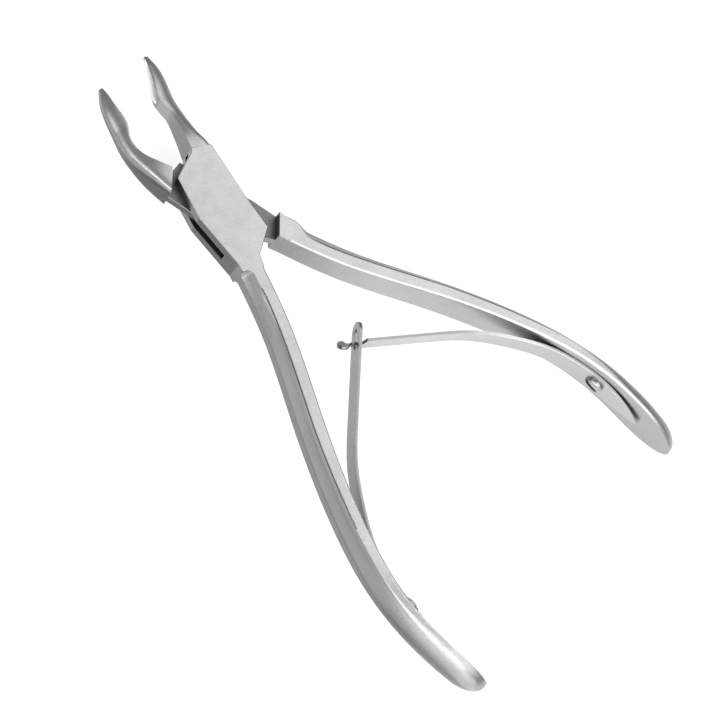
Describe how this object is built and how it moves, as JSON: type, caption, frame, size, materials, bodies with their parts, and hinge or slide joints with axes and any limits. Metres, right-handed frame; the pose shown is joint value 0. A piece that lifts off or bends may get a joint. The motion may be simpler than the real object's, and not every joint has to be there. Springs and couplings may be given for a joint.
{
  "type": "grozing pliers",
  "caption": "Spring-handled box-joint pliers with slender cupped jaws that nibble a glass edge, bowed flat-faced handles and a pair of crossed leaf springs that hold them open.",
  "frame": {"origin": "on the pivot axis, on the lower flat face of the box", "axes": "+Z along the pivot, through the thickness; +Y from the handles towards the jaws; +X towards the jaw of the outer lever, with the handles fully open and mirrored about the YZ plane"},
  "size_m": [0.0812, 0.1473, 0.0122],
  "materials": {
    "lever_steel": "satin brushed stainless steel, polished along the edges",
    "rivet_steel": "ground flush with the box and brushed with it",
    "spring_steel": "fine satin spring strip",
    "screw_steel": "turned and lightly polished"
  },
  "bodies": {
    "outer_half": {"outer_lever": "lever_steel", "pivot_rivet": "rivet_steel", "slotted_spring_foot": "spring_steel", "slotted_spring_screw": "screw_steel"},
    "inner_half": {"inner_lever": "lever_steel", "hooked_spring_foot": "spring_steel", "hooked_spring_screw": "screw_steel"},
    "slotted_leaf": {"slotted_spring_blade": "spring_steel"},
    "hooked_leaf": {"hooked_spring_blade": "spring_steel"}
  },
  "joints": [
    {"name": "main_pivot", "type": "hinge", "parent": "outer_half", "child": "inner_half", "pos_m": [0, 0, 0.0044], "axis": [0, 0, -1], "range_deg": [0, 17.5], "stiffness_Nm_per_rad": 1.5, "springref_deg": -5.73},
    {"name": "hooked_leaf_flex", "type": "hinge", "parent": "inner_half", "child": "hooked_leaf", "pos_m": [0.0308, -0.073, 0.0044], "axis": [0, 0, -1], "range_deg": [0, 9.7]},
    {"name": "slotted_leaf_flex", "type": "hinge", "parent": "outer_half", "child": "slotted_leaf", "pos_m": [-0.0308, -0.073, 0.0044], "axis": [0, 0, 1], "range_deg": [0, 9.7]}
  ],
  "couplings": [
    {"joint": "hooked_leaf_flex", "follows": "main_pivot", "ratio": 0.55},
    {"joint": "slotted_leaf_flex", "follows": "main_pivot", "ratio": 0.55}
  ]
}
